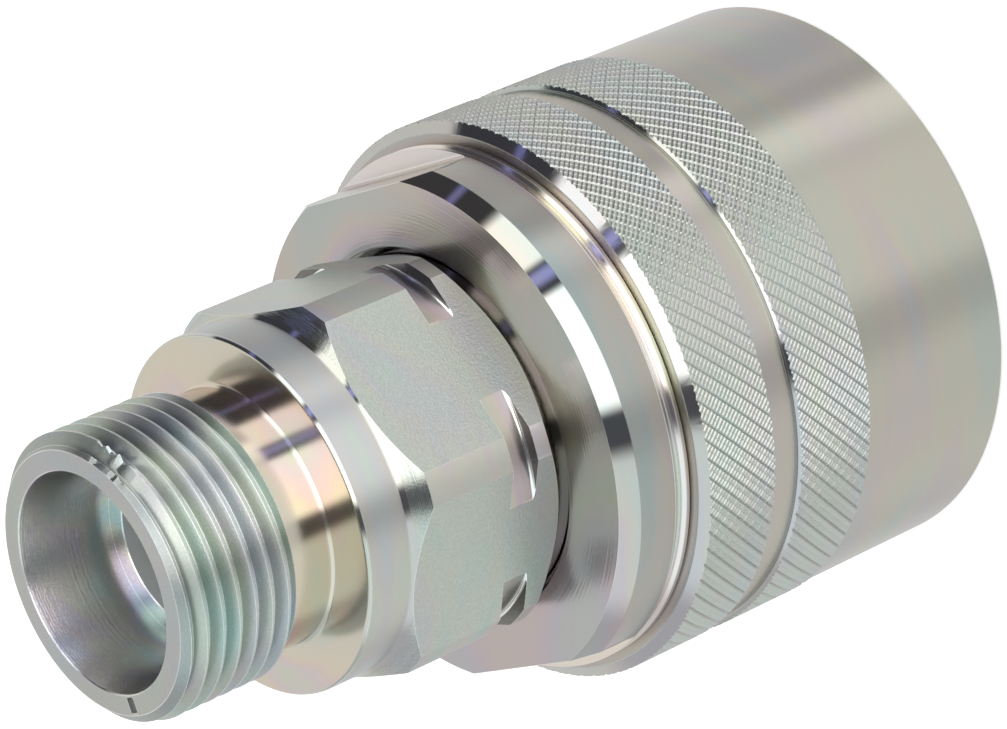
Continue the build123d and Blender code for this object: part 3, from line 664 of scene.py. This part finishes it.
# Floor and studio.
# A pale floor, a white surround for the camera, and a tent with arched strips of light and shade for the
# metal. An arch's angle is the angle round the part at which its surface mirrors the arch to the photograph.
bpy.ops.object.select_all(action="DESELECT")
bpy.ops.mesh.primitive_plane_add(size=6)
floor = bpy.context.object
floor.name = "studio_floor"
floor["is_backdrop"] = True
floor.visible_glossy = False
paper = bpy.data.materials.new("paper_floor")
paper.use_nodes = True
tree = paper.node_tree
paper_shader = tree.nodes["Principled BSDF"]
paper_shader.inputs["Base Color"].default_value = (0.75, 0.75, 0.75, 1)
paper_shader.inputs["Roughness"].default_value = 0.9
paper_shader.inputs["Specular IOR Level"].default_value = 0.0
paper_shader.inputs["Emission Color"].default_value = (1, 1, 1, 1)
paper_shader.inputs["Emission Strength"].default_value = 0.45
floor.data.materials.append(paper)

world = bpy.data.worlds.new("light_tent")
bpy.context.scene.world = world
world.use_nodes = True
tree = world.node_tree
direction = add(tree, "ShaderNodeTexCoord").outputs["Generated"]
LENS = (0.8035, 0.0937, 0.5879)
height = add(tree, "ShaderNodeSeparateXYZ", {0: direction}).outputs["Z"]
arch = add(tree, "ShaderNodeVectorMath", {0: direction, 1: LENS}, operation="ADD").outputs[0]
flat = add(tree, "ShaderNodeVectorMath", {0: arch, 1: (1, 1, 0)}, operation="MULTIPLY").outputs[0]
spread = add(tree, "ShaderNodeVectorMath", {0: flat}, operation="LENGTH").outputs["Value"]
arch = add(tree, "ShaderNodeSeparateXYZ", {0: arch}).outputs
arch = math_node(tree, "ARCTAN2", arch["Y"], arch["X"])


def strips(surround, arches):
    """Light of one height of the tent: its own colour, then arches at an angle round the part's axis, each
    with its half width and softness in degrees and its colour."""
    light = add(tree, "ShaderNodeRGB").outputs[0]
    light.default_value = (*surround, 1)
    for angle, reach, soft, colour in arches:
        away = math_node(tree, "SUBTRACT", arch, math.radians(angle))
        away = math_node(tree, "ABSOLUTE", math_node(tree, "WRAP", away, math.pi, -math.pi))
        strip = add(tree, "ShaderNodeMapRange", {"Value": away, "From Min": math.radians(reach + soft),
                                                 "From Max": math.radians(reach - soft)},
                    interpolation_type="SMOOTHSTEP").outputs[0]
        light = add(tree, "ShaderNodeMix", {"Factor": strip, 6: light, 7: (*colour, 1)},
                    data_type="RGBA").outputs[2]
    return light


upper_light = strips((0.93, 0.92, 0.90), [
    (-35, 22, 6, (1.05, 1.15, 1.18)),
    (-68, 16, 6, (0.68, 0.68, 0.70)),
    (-8, 5, 2.5, (0.12, 0.12, 0.14)),
    (11, 14, 2, (2.3, 2.3, 2.28)),
    (38, 8, 2, (1.9, 1.9, 1.84)),
    (61, 15, 2, (0.07, 0.07, 0.08)),
    (28, 3.5, 1.2, (0.10, 0.10, 0.12)),
    (28.5, 1.5, 1.2, (0.60, 0.60, 1.15)),
    (57, 1.0, 1.0, (0.28, 0.28, 0.60)),
    (150, 12, 5, (0.35, 0.35, 0.36)),
    (195, 9, 3, (1.7, 1.7, 1.7)),
    (235, 10, 5, (0.5, 0.5, 0.5))])
lower_light = strips((0.93, 0.92, 0.90), [
    (-68, 16, 8, (0.80, 0.80, 0.80)),
    (-9, 6, 4, (0.80, 0.80, 0.80)),
    (32, 5, 3, (1.30, 1.30, 1.28)),
    (41, 4, 3, (0.55, 0.55, 0.57)),
    (54, 8, 5, (0.78, 0.78, 0.80)),
    (150, 14, 8, (0.6, 0.6, 0.6)),
    (195, 9, 5, (1.3, 1.3, 1.3))])
level = add(tree, "ShaderNodeMapRange", {"Value": height, "From Min": -0.5, "From Max": -0.35}).outputs[0]
light = add(tree, "ShaderNodeMix", {"Factor": level, 6: lower_light, 7: upper_light},
            data_type="RGBA").outputs[2]
crown = add(tree, "ShaderNodeMapRange", {"Value": spread, "From Min": 0.6, "From Max": 0.2}).outputs[0]
light = add(tree, "ShaderNodeMix", {"Factor": crown, 6: light, 7: (0.87, 0.86, 0.86, 1)},
            data_type="RGBA").outputs[2]
camera_ray = add(tree, "ShaderNodeLightPath").outputs["Is Camera Ray"]
seen = add(tree, "ShaderNodeMix", {"Factor": camera_ray, 6: light, 7: (1, 1, 1, 1)},
           data_type="RGBA").outputs[2]
tree.links.new(seen, tree.nodes["Background"].inputs["Color"])


# Camera.
# A long lens that stands at the photograph's place and is rolled as the photograph is.
camera_data = bpy.data.cameras.new("studio_camera")
camera = bpy.data.objects.new("studio_camera", camera_data)
bpy.context.scene.collection.objects.link(camera)
camera_data.sensor_width = 36
camera_data.lens = 182.22
camera_data.clip_end = 20
right = Vector((0.581951, -0.331443, -0.742615))
up = Vector((0.125263, 0.938811, -0.320846))
back = Vector((0.803517, 0.093694, 0.587861))
turn = Matrix((right, up, back)).transposed().to_4x4()
camera.matrix_world = Matrix.Translation(Vector((418.53, 52.44, 347.22)) * MM) @ turn
bpy.context.scene.camera = camera

bpy.context.scene.view_settings.view_transform = "Standard"
low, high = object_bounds()
